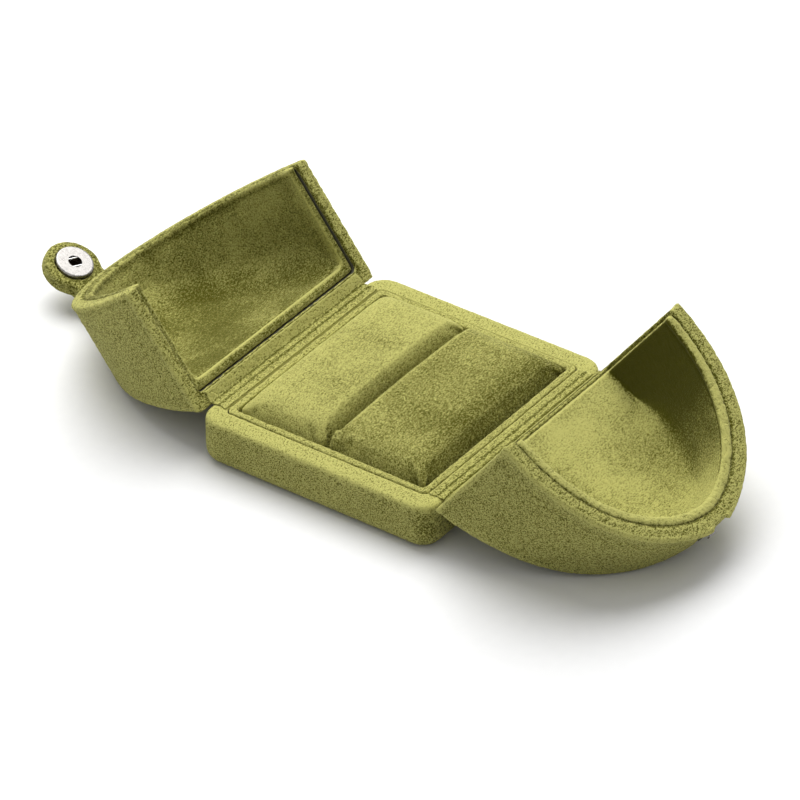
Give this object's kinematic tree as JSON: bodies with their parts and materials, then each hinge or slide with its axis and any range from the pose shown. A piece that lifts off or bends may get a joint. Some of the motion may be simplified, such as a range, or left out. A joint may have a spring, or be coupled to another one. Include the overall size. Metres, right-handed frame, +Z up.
{
  "type": "ring box",
  "caption": "Velvet ring box with two arched covers hinged on opposite edges of a shallow padded tray, closed by a folding tab with a press snap; stored open.",
  "frame": {"origin": "middle of the base tray's underside, on the table", "axes": "+Z up, +X from the left hinge to the right hinge, +Y along the hinges towards the back"},
  "size_m": [0.1874, 0.07, 0.0371],
  "materials": {
    "velvet": "short-pile velvet",
    "moulded_board": "moulded",
    "backing_sheet": "short flock",
    "card": "matt",
    "foam": "open-cell foam",
    "snap_metal": "bright nickel",
    "spring_steel": "bright"
  },
  "bodies": {
    "base": {"base_shell": "moulded_board", "base_velvet": "velvet", "base_bottom_sheet": "backing_sheet", "collar_frame": "card", "collar_velvet": "velvet", "pad_board": "card", "left_ring_foam": "foam", "right_ring_foam": "foam", "left_ring_pad_velvet": "velvet", "right_ring_pad_velvet": "velvet", "left_hinge_strip": "velvet", "right_hinge_strip": "velvet"},
    "left_cover": {"left_cover_shell": "moulded_board", "left_cover_velvet": "velvet", "left_liner_board": "card", "left_liner_velvet": "velvet", "left_hinge_flap": "velvet", "tab_anchor_strap": "velvet"},
    "right_cover": {"right_cover_shell": "moulded_board", "right_cover_velvet": "velvet", "right_liner_board": "card", "right_liner_velvet": "velvet", "right_hinge_flap": "velvet", "snap_stud": "snap_metal", "snap_stud_backing": "snap_metal"},
    "tab": {"tab_core": "card", "tab_velvet_lower": "velvet", "tab_velvet_upper": "velvet", "snap_socket": "snap_metal", "snap_spring_wires": "spring_steel", "snap_cap": "snap_metal"}
  },
  "joints": [
    {"name": "right_cover_hinge", "type": "hinge", "parent": "base", "child": "right_cover", "pos_m": [0.032, 0, 0.012], "axis": [0, -1, 0], "range_deg": [0, 127.34]},
    {"name": "left_cover_hinge", "type": "hinge", "parent": "base", "child": "left_cover", "pos_m": [-0.032, 0, 0.012], "axis": [0, 1, 0], "range_deg": [0, 127.34]},
    {"name": "tab_fold", "type": "hinge", "parent": "left_cover", "child": "tab", "pos_m": [-0.08241, 0, 0.00323], "axis": [0, 1, 0], "range_deg": [0, 28.6]}
  ]
}
